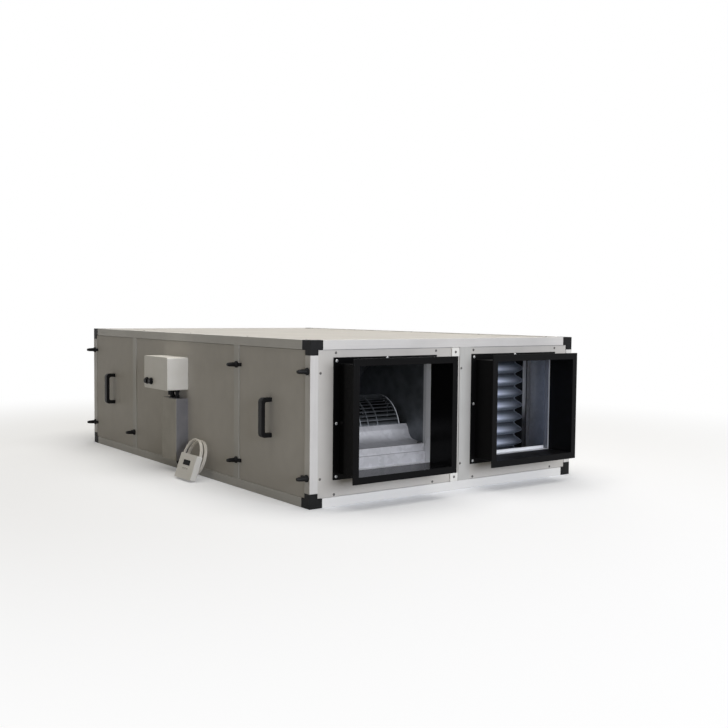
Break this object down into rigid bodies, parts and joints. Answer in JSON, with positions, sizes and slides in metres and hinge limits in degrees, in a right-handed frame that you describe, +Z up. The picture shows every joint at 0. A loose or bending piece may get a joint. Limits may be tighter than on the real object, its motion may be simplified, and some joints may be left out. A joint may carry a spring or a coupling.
{
  "type": "air handling unit",
  "caption": "Flat box-shaped air handling unit with an aluminium frame, insulated panels, flanged duct collars, spiral fans, pleated filters and side control boxes.",
  "frame": {"origin": "centre of the casing's flat underside, on the floor", "axes": "+Z up, -Y out of the front with the fan and filter collars, -X out of the near side with the control boxes"},
  "size_m": [1.3142, 2.016, 0.52],
  "materials": {
    "profile": "extruded, satin",
    "panel_paint": "smooth satin coat on sheet",
    "corner_nylon": "moulded, fine grain",
    "collar_black": "semi-gloss black",
    "galvanised": "galvanised sheet with faint spangle",
    "shaft_steel": "ground",
    "bearing_iron": "painted",
    "filter_cloth": "pleated synthetic fibre",
    "grip_black": "moulded, slightly glossy",
    "white_plastic": "moulded",
    "box_paint": "satin grey",
    "window": "dark display window",
    "cable_grey": "soft cable sheath"
  },
  "bodies": {
    "casing": {"long_rails": "profile", "cross_rails": "profile", "corner_posts": "profile", "end_mullions": "profile", "side_mullions": "profile", "top_panel": "panel_paint", "floor_panel": "panel_paint", "near_doors": "panel_paint", "near_middle_panel": "panel_paint", "far_doors": "panel_paint", "far_middle_panel": "panel_paint", "front_fan_panel": "panel_paint", "front_filter_panel": "panel_paint", "rear_fan_panel": "panel_paint", "rear_filter_panel": "panel_paint", "corner_blocks": "corner_nylon", "front_fan_collar": "collar_black", "front_filter_collar": "collar_black", "rear_fan_collar": "collar_black", "rear_filter_collar": "collar_black", "centre_partition": "galvanised", "front_scroll": "galvanised", "front_cutoff": "galvanised", "rear_scroll": "galvanised", "rear_cutoff": "galvanised", "rear_fan_wheel": "galvanised", "front_filter_frame": "galvanised", "rear_filter_frame": "galvanised", "filter_tracks": "galvanised", "filter_sills": "galvanised", "rear_fan_shaft": "shaft_steel", "front_fan_bearings": "bearing_iron", "rear_fan_bearings": "bearing_iron", "front_filter_cloth": "filter_cloth", "rear_filter_cloth": "filter_cloth", "near_handles": "grip_black", "far_handles": "grip_black", "near_clamps": "grip_black", "far_clamps": "grip_black", "cable_glands": "grip_black", "panel_clips": "white_plastic", "control_box": "white_plastic", "control_lid": "white_plastic", "lid_plugs": "grip_black", "room_controller": "white_plastic", "wiring_box": "box_paint", "controller_window": "window", "gland_lead": "cable_grey", "cable_coil": "cable_grey", "controller_lead": "cable_grey"},
    "fan_rotor": {"front_fan_wheel": "galvanised", "front_fan_shaft": "shaft_steel"}
  },
  "joints": [
    {"name": "fan_spin", "type": "hinge", "parent": "casing", "child": "fan_rotor", "pos_m": [-0.292, -0.643, 0.19698], "axis": [1, 0, 0], "continuous": true}
  ]
}
